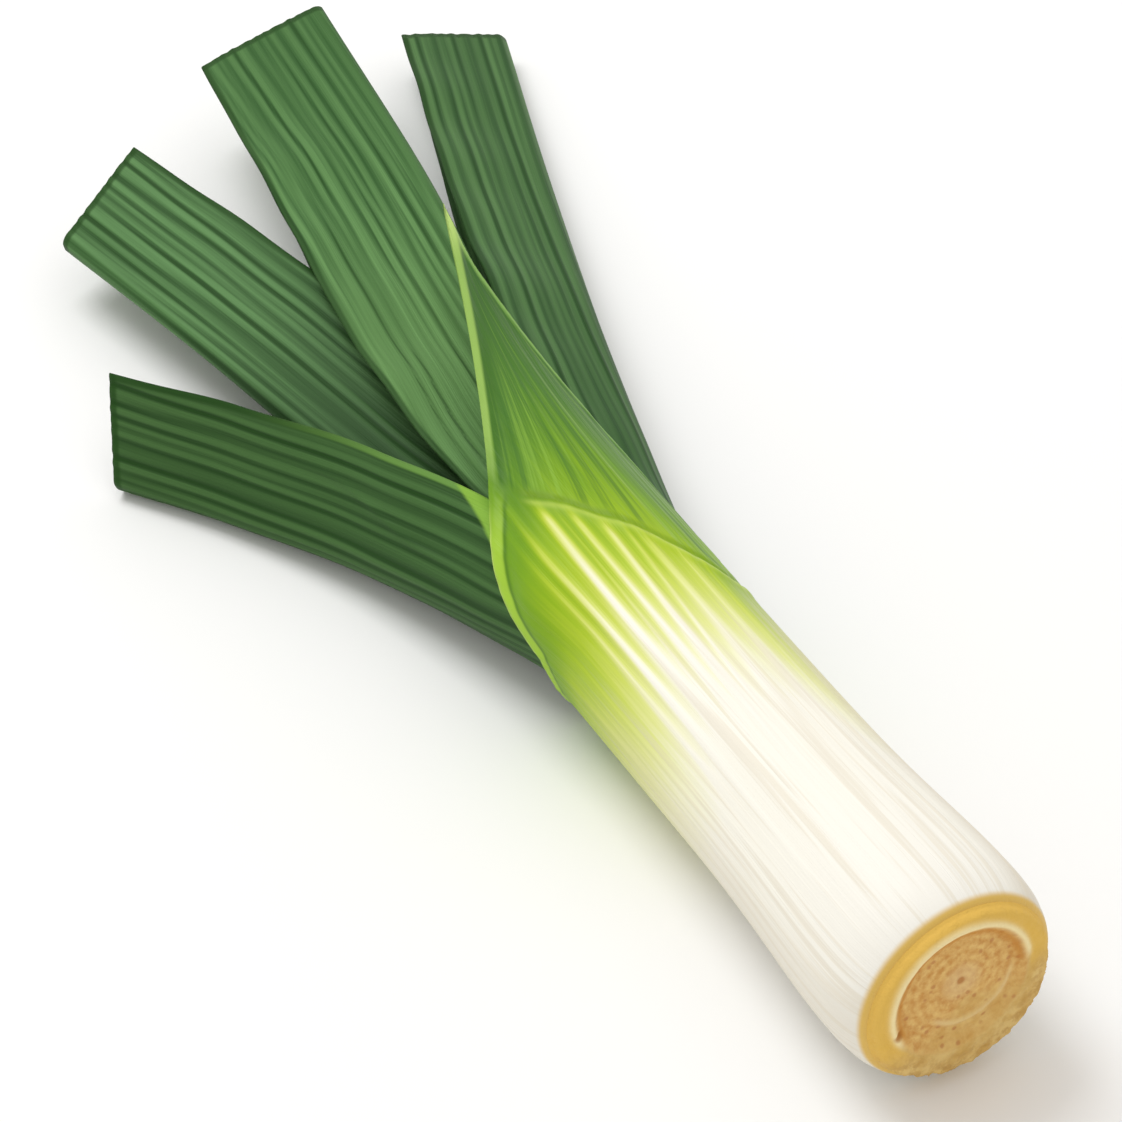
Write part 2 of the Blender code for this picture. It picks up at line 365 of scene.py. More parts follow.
SHAFT_SIDES = 360
CROWDING = 1.5  # above 1, the sides are finer towards the top
FOOT_ROWS, LEAF_ROWS_UP, INNER_ROWS = 64, 150, 26
FOOT_CROWDING = 1.25  # above 1, the rows are finer towards the foot
EDGE_TURN_ROWS = 5  # rows that round the rim over
POLE_RADIUS = 0.02  # of the smallest ring, which closes a disc
FOOT_RINGS = (POLE_RADIUS, 8.0, 15.0, 17.5)  # radii across the foot, behind the root plate
FLOOR_INSETS = (10.0, SHAFT_RADIUS - POLE_RADIUS)  # across the socket's floor
FLOOR_RISE = 1.0  # how far above the part's floor the socket ends here
WALL_THINS, WALL_THINS_OVER = 0.45, 90.0  # share that the wall loses towards the front leaf's point
INNER_RELIEF = 0.4  # share of the outside's relief that shows on the inside


def shaft_radius(y):
    """Outer radius: level above, swelling to the foot as a bell and rounding in to the plate as a quarter
    circle."""
    bulge = BULGE * bell(y - BULGE_AT, BULGE_REACH)
    inward = np.clip(1 - y / SHOULDER, 0, 1)
    at_foot = SHAFT_RADIUS + BULGE * math.exp(-((BULGE_AT / BULGE_REACH) ** 2)) - FOOT_RADIUS
    return SHAFT_RADIUS + bulge - at_foot * (1 - np.sqrt(1 - inward**2))


# The rim: a point whose two edges run down as powers of the angle from it, and on the left a lip that
# stands open.
SPREAD_LEFT, SPREAD_RIGHT = 104.0, 58.0  # degrees over which the edges run down
CURVE_LEFT, CURVE_RIGHT = 0.5, 0.93  # powers: below 1, the edge hollows in
LOW_RIM = 116.0  # how far up the rim is where both edges have run down
RIM_FLARE, RIM_FLARE_AT, RIM_FLARE_WIDTH = 5.0, -77.0, 22.0  # how much higher the lip stands, where, how wide
LIP_OUT, LIP_AT, LIP_WIDTH = 3.1, -68.0, 30.0  # how far out the lip leans, where and how wide in degrees
LIP_FROM, LIP_RUN = 104.0, 23.0  # where along the shaft it starts, and the length over which it opens
RIM_PLACES, RIM_CROWDING = 260, 1.6  # places along each edge, finer towards the point
RIM_REACH = 188.0  # degrees that they cover


def rim_height(angle):
    """How far up the wall reaches at an angle in degrees from the top."""
    left = np.clip((POINT_AT - angle) / SPREAD_LEFT, 0, 1) ** CURVE_LEFT
    right = np.clip((angle - POINT_AT) / SPREAD_RIGHT, 0, 1) ** CURVE_RIGHT
    flare = RIM_FLARE * bell(angle - RIM_FLARE_AT, RIM_FLARE_WIDTH)
    return POINT_LENGTH - (POINT_LENGTH - LOW_RIM) * (left + right) + flare


def edge_distances(angle, y):
    """Distance in millimetres to the rim on the left and on the right of its point: the least of the
    distances to finely spaced places along it, on the unrolled sheath."""
    arc = np.radians(angle) * SHAFT_RADIUS
    sides = []
    for to_edge in (-1, 1):
        turns = POINT_AT + to_edge * np.linspace(0, 1, RIM_PLACES) ** RIM_CROWDING * RIM_REACH
        rim_arc = np.radians(turns) * SHAFT_RADIUS
        away = np.hypot(arc[..., None] - rim_arc, y[..., None] - rim_height(turns))
        sides.append(away.min(axis=-1))
    return sides


CREASE_AT_TOP = 125.5  # how far up the crease crosses the top of the shaft
CREASE_FALL = 0.585  # millimetres for each degree to the right
CREASE_END = 103.0  # how far up it levels out
CREASE_EASE = 6.0
CREASE_WAVE, CREASE_WAVE_TURN = 0.5, 4.1  # an uneven line: millimetres, and degrees to a radian of the wave


def crease_height(angle):
    """Where the blade bends away from the sheath: a line that falls to the right and levels out."""
    fall = CREASE_AT_TOP - CREASE_FALL * angle - CREASE_END
    level = CREASE_END + (fall + np.sqrt(fall**2 + CREASE_EASE**2)) / 2
    return level + CREASE_WAVE * np.sin(angle / CREASE_WAVE_TURN)


# The pleats below the crease: degrees from the top at the neck, how far each wanders left on the way to the
# foot, how wide and how deep.
PLEATS = (
    (-53.0, 1.0, 2.0, 0.35),
    (-44.5, 1.0, 2.1, 0.8),
    (-32.5, 2.0, 3.0, 1.0),
    (-26.5, 2.0, 1.1, 0.35),
    (-20.5, 3.5, 2.2, 0.75),
    (-11.0, 5.0, 2.3, 0.75),
    (-4.0, 6.0, 1.3, 0.35),
    (5.0, 5.0, 2.6, 0.35),
    (19.0, 3.0, 3.0, 0.25),
)
PLEAT_RISE = 0.5  # millimetres
PLEATS_AT = 100.0  # how far up the angles hold
PLEAT_DRIFT_OVER = 40.0  # millimetres down the shaft in which a pleat wanders by its drift
PLEAT_WAVE, PLEAT_WAVE_RUN, PLEAT_WAVE_STEP = 0.6, 15, 2.1  # degrees, and the wave's run and shift per pleat
PLEATS_FROM, PLEATS_GROW_OVER, PLEATS_END_OVER = 15, 75, 10


def pleat_field(angle, y):
    """Ridges that fan down from the crease, from 0 to 1: bells round angles that wander along the shaft."""
    grown = smooth((y - PLEATS_FROM) / PLEATS_GROW_OVER)
    reach = grown * smooth((crease_height(angle) - y) / PLEATS_END_OVER)
    total = 0
    for number, (middle, drift, width, depth) in enumerate(PLEATS):
        wave = PLEAT_WAVE * np.sin(y / PLEAT_WAVE_RUN + PLEAT_WAVE_STEP * number)
        line = middle - drift * (PLEATS_AT - y) / PLEAT_DRIFT_OVER + wave
        total = total + depth * bell(angle - line, width)
    return np.minimum(total, 1) * reach


def lip_opening(angle, y):
    """How far the lip on the left leans out of the neck, which lets the left outer leaf through."""
    return LIP_OUT * smooth((y - LIP_FROM) / LIP_RUN) * bell(angle - LIP_AT, LIP_WIDTH)


RIB_RISE, RIB_PITCHES, RIB_DRIFT, RIB_SEED = 0.055, (5.7, 3.9, 2.6, 1.9), 31, 3

# Ridges and grooves along a line: how high, how far from the line their middle is, and how wide.
SWELLING = (0.35, -3.0, 2.0)
GROOVE = (-0.40, 0.0, 1.3)
LEFT_BEAD = (0.40, 1.2, 1.1)
RIGHT_BEAD = (0.2, 0.6, 0.7)
CHANNEL = (-0.35, 4.2, 1.8)  # between the left bead and the rest of the front leaf


def beside(distance, rise, middle, width):
    """A ridge, or a groove where rise is negative, that runs beside a line: a bell of the distance to it."""
    return rise * bell(distance - middle, width)


def shaft_relief(angle, y):
    """How far the skin stands out, in millimetres: the lip, fine ribs all round, the pleats below the
    crease, the groove of the crease with a swelling under it, and a bead along the front leaf's edges."""
    arc = np.radians(angle) * SHAFT_RADIUS
    ribs = RIB_RISE * ripple(arc, y, RIB_PITCHES, RIB_DRIFT, RIB_SEED) * smooth(y / 6)
    away = y - crease_height(angle)
    on_top = smooth((angle + 37) / 8) * smooth((70 - angle) / 20)
    crease = (beside(away, *SWELLING) + beside(away, *GROOVE)) * on_top
    left, right = edge_distances(angle, y)
    off_ground = smooth((145 - np.abs(angle)) / 25)
    up = smooth((y - 100) / 14) * off_ground
    bead = beside(left, *LEFT_BEAD) * up + beside(right, *RIGHT_BEAD) * up
    channel = beside(left, *CHANNEL) * smooth((y - 118) / 14)
    return lip_opening(angle, y) + ribs + PLEAT_RISE * pleat_field(angle, y) + crease + bead + channel


def sheath_point(angle, y, inset, relief=0.0):
    """A point on the sheath or the front leaf: round the axis, leaning right and drooping beyond the neck."""
    turn = np.radians(angle)
    radius = shaft_radius(y) - inset + relief
    beyond = np.clip((y - RIM_LEFT) / (POINT_LENGTH - RIM_LEFT), 0, 1)
    lean = (POINT_LEAN - axis_offset(POINT_LENGTH)) * beyond**POINT_LEAN_CURVE
    x = axis_offset(y) + radius * np.sin(turn) + lean
    z = axis_height(y) + radius * np.cos(turn) - POINT_DROP * beyond**POINT_DROP_CURVE
    return np.stack([x, y + 0 * x, z], axis=-1)


def build_shaft(finish):
    """Rings of one angle grid: out across the foot, up the outside, over the rim as a half circle, down the
    inside and in across the socket's floor."""
    around = np.arange(SHAFT_SIDES) * 2 / SHAFT_SIDES - 1
    angle = POINT_AT + 180 * np.sign(around) * np.abs(around) ** CROWDING
    angle = (angle + 180) % 360 - 180
    rim = rim_height(angle)
    rows, grow, marks, folds = [], [], [], []

    def ring(y, inset, relief=0.0):
        y = y + 0 * angle
        rows.append(sheath_point(angle, y, inset, relief))
        turn = np.radians(angle)
        grow.append(np.stack([SHAFT_RADIUS * np.sin(turn), y, SHAFT_RADIUS * np.cos(turn)], axis=-1))
        left, right = edge_distances(angle, y)
        marks.append(np.stack([left, right, angle], axis=-1))
        folds.append(np.stack([pleat_field(angle, y), y - crease_height(angle), 0 * y], axis=-1))

    for radius in FOOT_RINGS:
        ring(0.0, shaft_radius(np.zeros(1)) - radius)
    for y in SOCKET_FLOOR * np.linspace(0, 1, FOOT_ROWS) ** FOOT_CROWDING:
        ring(y, 0.0, shaft_relief(angle, y + 0 * angle))
    wall = WALL * (1 - WALL_THINS * smooth((rim - RIM_LEFT) / WALL_THINS_OVER))
    for share in np.linspace(0, 1, LEAF_ROWS_UP)[1:]:
        y = SOCKET_FLOOR + (rim - wall / 2 - SOCKET_FLOOR) * share
        ring(y, 0.0, shaft_relief(angle, y))
    brim = shaft_relief(angle, rim - wall / 2)
    for step in np.linspace(0, math.pi, EDGE_TURN_ROWS + 2)[1:-1]:
        ring(rim - wall / 2 + wall / 2 * math.sin(step), wall / 2 * (1 - math.cos(step)), brim)
    for share in np.linspace(1, 0, INNER_ROWS):
        y = SOCKET_FLOOR + FLOOR_RISE + (rim - wall / 2 - SOCKET_FLOOR - FLOOR_RISE) * share
        opening = lip_opening(angle, y)
        ring(y, wall + 0 * y, opening + (shaft_relief(angle, y) - opening) * INNER_RELIEF)
    for inset in FLOOR_INSETS:
        ring(SOCKET_FLOOR + FLOOR_RISE, inset)
    points = np.stack(rows)
    faces = np.vstack([grid_faces(len(points), SHAFT_SIDES, True), *end_faces(len(points), SHAFT_SIDES)])
    fields = {"grow": np.stack(grow), "margin": np.stack(marks), "folds": np.stack(folds)}
    node = "shaft_and_front_leaf"
    add_piece("shaft_with_front_leaf", points, faces, fields, finish, [node])


# ---------------------------------------------------------------- the leaf blades

LEAF_LENGTH_ROWS = 190
LEAF_HALF_COLUMNS = 54
HALF_CROWDING = 1.25  # above 1, the columns are finer towards the keel
LEAF_THICKNESS = 1.15
EDGE_THICKNESS = 0.55  # of the blade at its sides
EDGE_THINS_OVER = 7.0
EDGE_ROUND = 0.45  # how far the side's middle point stands out, as a share of the thickness there
KEEL_SWELL, KEEL_WIDTH = 0.12, 2.5  # share by which the blade is thicker along its keel, and how wide
OUT_FROM, OUT_OVER = 20, 40  # the relief comes in over this stretch, out of the neck
VEIN_RISE, VEIN_PITCHES, VEIN_DRIFT = 0.11, (3.8, 2.9, 2.2), 55
WAVE_RISE, WAVE_PITCHES, WAVE_DRIFT = 0.35, (47.0, 29.0), 18  # the sides wave a little


def half_section(width, fold, turn, share):
    """Half of a folded leaf's section from the keel outwards: it turns on the fold's radius until it has
    turned far enough, and then runs straight to the leaf's edge."""
    s = share[None, :] * width[:, None]
    fold, turn = fold[:, None], turn[:, None]
    bent = np.minimum(s, fold * turn)
    straight = s - bent
    inward = fold * (1 - np.cos(bent / fold)) + straight * np.sin(turn)
    up = fold * np.sin(bent / fold) + straight * np.cos(turn)
    return inward, up, s


def leaf_rows(side, nest, nest_roll, keel, fold, turn, roll, width, lower, slant):
    """Rows of points across a folded leaf from its lower edge over the keel to its upper edge, with the
    distance across it, signed from the keel, and the distance along it."""
    out, down = nest * math.cos(math.radians(nest_roll)), nest * math.sin(math.radians(nest_roll))
    in_neck = [(axis_offset(y) + side * out, y, axis_height(y) - down) for y in NECK]
    t = np.linspace(0, 1, LEAF_LENGTH_ROWS)
    centre = through(in_neck + keel, t)
    step = np.linalg.norm(np.diff(centre, axis=0), axis=1)
    along = np.concatenate([[0], np.cumsum(step)])
    ahead = np.gradient(centre, axis=0)
    ahead /= np.linalg.norm(ahead, axis=1)[:, None]
    level = np.stack([ahead[:, 1], -ahead[:, 0], np.zeros(len(t))], axis=-1) * -side
    level /= np.linalg.norm(level, axis=1)[:, None]
    above = np.cross(level, ahead) * -side
    share = np.linspace(0, 1, LEAF_HALF_COLUMNS) ** HALF_CROWDING
    fold = through([nest] * 2 + fold, t)[:, 0]
    turn = np.radians(through(turn[:1] + turn, t)[:, 0])
    width = through(width[:1] + width, t)[:, 0]
    upper = half_section(width, fold, turn, share)
    under = half_section(width * through(lower[:1] + lower, t)[:, 0], fold, turn, share)
    inward = np.hstack([under[0][:, :0:-1], upper[0]])
    up = np.hstack([-under[1][:, :0:-1], upper[1]])
    across = np.hstack([-under[2][:, :0:-1], upper[2]])
    tilt = np.radians(through([nest_roll] * 2 + roll, t))
    sideways = inward * np.cos(tilt) - up * np.sin(tilt)
    rise = inward * np.sin(tilt) + up * np.cos(tilt)
    slope = slant * np.hypot(inward, up) * smooth((t[:, None] - 0.5) * 2)
    points = (
        centre[:, None, :]
        + sideways[..., None] * level[:, None, :]
        + rise[..., None] * above[:, None, :]
        + slope[..., None] * ahead[:, None, :]
    )
    return points, across, along[:, None] + slope


def build_leaf(name, finish, seed, notes, **leaf):
    """A closed blade: both faces lie half the thickness off the folded sheet along its normal, thinner
    towards the sides, with veins that ripple both faces alike, and a middle point rounds each side."""
    points, across, along = leaf_rows(**leaf)
    tangent_across = np.gradient(points, axis=1)
    tangent_along = np.gradient(points, axis=0)
    normal = np.cross(tangent_across, tangent_along)
    normal /= np.linalg.norm(normal, axis=-1, keepdims=True)
    half_width = np.where(across < 0, -across[:, :1], across[:, -1:])
    edge = half_width - np.abs(across)
    to_end = along[-1:, :] - along
    out_of_neck = smooth((along - OUT_FROM) / OUT_OVER)
    ribs = ripple(across, along, VEIN_PITCHES, VEIN_DRIFT, seed)
    veins = ribs * VEIN_RISE * out_of_neck * smooth(edge / 2.0)
    to_side = smooth(np.abs(across) / half_width)
    waves = out_of_neck * to_side * WAVE_RISE * ripple(along, across, WAVE_PITCHES, WAVE_DRIFT, seed + 2)
    lift = veins + waves + notes(across, along)
    thickness = EDGE_THICKNESS + (LEAF_THICKNESS - EDGE_THICKNESS) * smooth(edge / EDGE_THINS_OVER)
    thickness = thickness * (1 + KEEL_SWELL * bell(across, KEEL_WIDTH))
    above = points + normal * (lift + thickness / 2)[..., None]
    below = points + normal * (lift - thickness / 2)[..., None]
    lifted = points + normal * lift[..., None]
    aside = tangent_across / np.linalg.norm(tangent_across, axis=-1, keepdims=True)
    first = lifted[:, :1] - aside[:, :1] * EDGE_THICKNESS * EDGE_ROUND
    last = lifted[:, -1:] + aside[:, -1:] * EDGE_THICKNESS * EDGE_ROUND
    section = np.concatenate([first, above, last, below[:, ::-1]], axis=1)

    def round_section(values, at_edge=None):
        ends = (values[:, :1], values[:, -1:]) if at_edge is None else (at_edge + 0 * values[:, :1],) * 2
        return np.concatenate([ends[0], values, ends[1], values[:, ::-1]], axis=1)

    outer = np.concatenate([0 * across[:, :1], 0 * across + 1, 0 * across[:, :1], 0 * across - 1], axis=1)
    grow = np.stack([round_section(across), round_section(along), outer], axis=-1)
    margin = np.stack([round_section(edge, -0.2), round_section(to_end), round_section(ribs)], axis=-1)
    rows, columns = section.shape[:2]
    above_side = np.arange(1, columns // 2)
    below_side = columns - above_side
    quads = np.stack([above_side[:-1], above_side[1:], below_side[1:], below_side[:-1]], axis=1)
    caps = (quads[:, ::-1], quads + (rows - 1) * columns)
    faces = np.vstack([grid_faces(rows, columns, True), *caps])
    add_piece(name + "_blade", section, faces, {"grow": grow, "margin": margin}, finish, [name])


LEAVES = {
    "left_outer_leaf": dict(
        side=-1,
        nest=17.3,
        nest_roll=22,
        keel=[(-17.5, 142, 9.8), (-26, 173, 5.2), (-40, 203, 2.5), (-54.8, 226.3, 2)],
        fold=[10.5, 6, 3.8, 2.6],
        turn=[96, 76, 69, 68, 68],
        roll=[32, 42, 46, 46],
        width=[28, 27.5, 27.5, 26.5, 24.5],
        lower=[0.6, 0.6, 0.7, 0.9, 1],
        slant=0.22,
    ),
    "right_outer_leaf": dict(
        side=1,
        nest=15.3,
        nest_roll=8,
        keel=[(29.3, 144, 16.5), (47.2, 199, 14.8), (68.7, 257, 10.5), (95.5, 325, 5)],
        fold=[10.5, 5, 3, 2.4],
        turn=[100, 80, 80, 83, 84],
        roll=[4, 8, 6, 2],
        width=[26, 22, 25.5, 26, 26],
        lower=[0.8, 0.9, 0.93, 0.9, 0.88],
        slant=-0.05,
    ),
    "right_inner_leaf": dict(
        side=1,
        nest=13.3,
        nest_roll=0,
        keel=[(20.5, 160, 20), (31, 214, 19), (42, 270, 21.5), (51, 332.5, 25)],
        fold=[7.6, 4.2, 2.4, 1.8],
        turn=[112, 88, 83, 84, 86],
        roll=[-2, -1, -3, -11],
        width=[27, 32, 37, 36, 32.5],
        lower=[1, 1, 0.92, 0.9, 0.93],
        slant=-0.25,
    ),
    "left_inner_leaf": dict(
        side=-1,
        nest=11.3,
        nest_roll=6,
        keel=[(-13.5, 146, 18.5), (-18.5, 190, 14.5), (-23.5, 236, 13), (-33, 295, 13)],
        fold=[3.6, 2.2, 1.8, 1.8],
        turn=[120, 92, 88, 86, 80],
        roll=[6, 9, 14, 12],
        width=[26, 28, 31, 30, 27.5],
        lower=[1, 0.98, 0.96, 0.96, 0.97],
        slant=0.27,
    ),
}


# ---------------------------------------------------------------- the root plate

PLATE_SIDES = 320
BACK_RINGS = (POLE_RADIUS, 6.0, 12.0, 17.0)  # radii across the flat back
BAND_ROWS, FACE_ROWS = 14, 92
UNDERSIDE_TURN = math.radians(20)

# On the cut face, as right of and above the shaft's axis: the middles of the pale arcs and of the rings,
# and a pit.
ARC_CENTRE, ARC_RADIUS = (-1.2, 2.6), 14.6
INNER_CENTRE, INNER_RADIUS = (0.5, 3.6), 9.4
HEART = (-0.9, 4.3)
PIT = (-14.2, -2.4)
RING_TURN = 3.1  # radians of the rings' wave to a millimetre


def build_root_plate(finish):
    """Rings about the shaft's axis: a flat back, a rounded rim band and a domed face. The face carries a
    raised arc, low concentric rings and pits, and towards the underside its rim is torn and rough."""
    turn = np.arange(PLATE_SIDES) * TURN / PLATE_SIDES
    underside = smooth(0.5 - 0.62 * np.cos(turn + UNDERSIDE_TURN))  # from 0 on top to 1 beneath
    torn = grain_noise(turn * 22, 0 * turn, 1.0, 5) - 0.5
    torn = torn + 0.8 * (grain_noise(turn * 51, 0 * turn + 9, 1.0, 6) - 0.5)
    rim = FOOT_RADIUS - 0.25 + underside * (0.75 * torn - 0.45)
    rows, grow, marks = [], [], []
    across, centre = axis_offset(0.0), axis_height(0.0)

    def ring(radius, y):
        radius = radius + 0 * turn
        y = y + 0 * turn
        rows.append(np.stack([across + radius * np.sin(turn), y, centre + radius * np.cos(turn)], axis=-1))
        grow.append(np.stack([radius * np.sin(turn), y, radius * np.cos(turn)], axis=-1))
        marks.append(np.stack([radius, rim - radius, underside], axis=-1))

    for radius in BACK_RINGS:
        ring(radius, -GAP * 0.2)
    for share in np.linspace(0, 1, BAND_ROWS):
        rough = underside * 0.5 * (grain_noise(turn * 30, share * 6 + 0 * turn, 1.0, 7) - 0.5)
        meeting = (FOOT_RADIUS + 0.05 - rim) * smooth(1 - share * 2.5)
        ring(rim + meeting - 0.5 * share**3 + rough * smooth(share * 2), 0.1 - (PLATE_RIM - 0.25) * share)
    for share in np.linspace(0, 1, FACE_ROWS)[1:]:
        radius = (rim - 0.5) * (1 - share) + POLE_RADIUS * share
        level = radius / FOOT_RADIUS
        face = -PLATE_RIM + 0.35 - PLATE_DOME * (1 - level**2) * 0.9
        shoulder = 0.35 * smooth((0.97 - level) / 0.07)
        x, z = radius * np.sin(turn), radius * np.cos(turn)
        from_arc = np.hypot(x - ARC_CENTRE[0], z - ARC_CENTRE[1])
        from_heart = np.hypot(x - HEART[0], z - HEART[1])
        from_inner = np.hypot(x - INNER_CENTRE[0], z - INNER_CENTRE[1])
        arc = bell(from_arc - ARC_RADIUS, 0.65) * smooth(1.6 - 2.4 * underside)
        dish = smooth((ARC_RADIUS - 0.2 - from_arc) / 3.0)
        inner_arc = bell(from_inner - INNER_RADIUS, 0.6) * smooth(1.9 * underside - 0.75)
        rings = 0.05 * np.sin(from_heart * RING_TURN + 3.0 * grain_noise(x, z, 4.0, 11)) * dish
        speckle = 0.38 * (grain_noise(x, z, 1.5, 12) - 0.5) + 0.20 * (grain_noise(x + 50, z, 0.8, 13) - 0.5)
        rough = (0.30 + 0.9 * underside * smooth((level - 0.45) / 0.4)) * speckle * smooth(level / 0.1)
        pit = -0.7 * bell(np.hypot(x - PIT[0], z - PIT[1]), 0.9) - 0.4 * bell(from_heart, 0.8)
        relief = 0.45 * arc + 0.28 * inner_arc - 1.2 * dish + rings + rough + pit
        ring(radius, face - shoulder - relief)
    points = np.stack(rows)
    faces = np.vstack([grid_faces(len(points), PLATE_SIDES, True), *end_faces(len(points), PLATE_SIDES)])
    fields = {"grow": np.stack(grow), "margin": np.stack(marks)}
    add_piece("cut_root_plate", points, faces, fields, finish, ["root_plate"])


# ---------------------------------------------------------------- finishes


RIPE_SPAN = 260.0  # millimetres up the leek that the ramp of colours covers


def shaft_finish():
    """Ivory at the foot, through lime at the neck, to green at the front leaf's point, in fine lengthwise
    streaks."""
    made = Finish("leek shaft", roughness=0.36, gloss=0.14)
    grow, (_, up, _) = made.field("grow")
    _, (left, right, angle) = made.field("margin")
    _, (pleat, past_crease, _) = made.field("folds")
    broad = made.noise(made.stretched(grow, (0.28, 0.012, 0.28)), 1.0, 2.0, 0.5, 0.2)
    fine = made.noise(made.stretched(grow, (1.1, 0.018, 1.1)), 1.0, 2.0, 0.6, 0.1)
    hair = made.noise(made.stretched(grow, (3.4, 0.03, 3.4)), 1.0, 1.0, 0.6)
    streak = (broad - 0.5) * 24.0 + (fine - 0.5) * 22.0 + (hair - 0.5) * 6.0

    # How ripe each place is, in millimetres up the leek: the sides and the inside of the left edge run
    # ahead, and a painted highlight on the pleats' raised ridges holds them back towards white.
    to_left, to_right = angle.between(-40.0, -70.0), angle.between(8.0, 44.0)
    sides = to_left * 10.0 + to_right * 21.0 - angle.bell(-12.0, 20.0) * 4.0
    hollow = left.between(14.0, 3.0) * up.between(120.0, 140.0)
    ripe = up + sides - pleat * 40.0 + streak * up.between(20.0, 90.0) + hollow * 14.0
    colour = made.ramp(
        ripe / RIPE_SPAN,
        [
            (0.000, shade(241, 238, 229)),
            (0.235, shade(242, 239, 226)),
            (0.285, shade(237, 236, 200)),
            (0.330, shade(222, 226, 146)),
            (0.380, shade(198, 211, 90)),
            (0.425, shade(170, 194, 46)),
            (0.475, shade(142, 176, 26)),
            (0.530, shade(118, 158, 20)),
            (0.590, shade(94, 138, 26)),
            (0.680, shade(70, 116, 32)),
            (0.900, shade(48, 90, 30)),
        ],
    )

    # Painted shade darkens and warms the white on the flanks that turn from the light, and the white is
    # warmer in faint stripes.
    ivory = up.between(112.0, 74.0)
    flank_shade = angle.between(26.0, 56.0) + angle.between(-66.0, -96.0) * 0.4
    colour = made.mix(flank_shade * ivory * 0.75, colour, shade(212, 201, 180))
    striped = (broad * 0.5 + fine * 0.5).between(0.49, 0.60)
    colour = made.mix(striped * ivory * 0.5, colour, shade(224, 215, 195))

    # The front leaf above the crease has dark and light veins that run together at its point.
    on_blade = past_crease.between(-1.0, 6.0) * angle.between(-44.0, -36.0)
    across_blade = left / (left + right)
    veins = made.noise(made.joined(across_blade * 34.0, up * 0.010, 0.0), 1.0, 2.0, 0.55)
    colour = made.mix(on_blade * veins.between(0.50, 0.34) * 0.55, colour, shade(58, 106, 26))
    colour = made.mix(on_blade * veins.between(0.54, 0.70) * 0.40, colour, shade(142, 184, 66))

    # The lip on the left: a green band inside a pale edge, with a dark line between them.
    flank = angle.between(-34.0, -46.0) * up.between(96.0, 108.0)
    edging = flank * up.between(151.0, 138.0)
    colour = made.mix(left.between(13.0, 3.5) * flank * 0.75, colour, shade(112, 156, 26))
    colour = made.mix(left.between(3.4, 2.8) * edging, colour, shade(158, 196, 60))
    colour = made.mix(left.bell(3.4, 0.5) * flank * 0.75, colour, shade(78, 120, 26))
    colour = made.mix(left.between(1.0, 0.2) * edging * 0.8, colour, shade(196, 216, 118))

    # The front leaf's own edges and its point are pale.
    bead = up.between(146.0, 168.0)
    colour = made.mix(left.bell(2.8, 0.9) * on_blade * 0.6, colour, shade(58, 104, 26))
    colour = made.mix(left.between(2.1, 1.3) * on_blade * (0.35 + bead * 0.5), colour, shade(150, 186, 88))
    colour = made.mix(right.between(1.3, 0.5) * up.between(128.0, 145.0) * 0.75, colour, shade(134, 178, 84))
    tip = up.between(222.0, 240.0)
    colour = made.mix(tip * 0.9, colour, shade(176, 202, 112))

    # Painted shade darkens the crease's groove, and a painted highlight lightens the swelling just below it.
    reach = angle.between(-37.0, -29.0)
    colour = made.mix(past_crease.bell(0.9, 1.5) * reach * 0.6, colour, shade(112, 146, 26))
    colour = made.mix(past_crease.bell(-2.8, 1.3) * reach * 0.35, colour, shade(206, 222, 110))

    # The foot's last two millimetres turn to the root plate's gold.
    foot = up.between(1.9, 0.5)
    colour = made.mix(foot, colour, shade(222, 184, 96))
    made.set("Base Color", colour)
    made.set("Roughness", 0.30 + fine * 0.18)
    made.set("Normal", made.relief(fine * 0.6 + hair * 0.4, 0.00022))
    return made.material


RIM_GREEN = shade(32, 68, 20)
# The painted shade on a blade near the neck, where it sits behind the others.
NECK_SHADE_GREEN = shade(34, 62, 28)


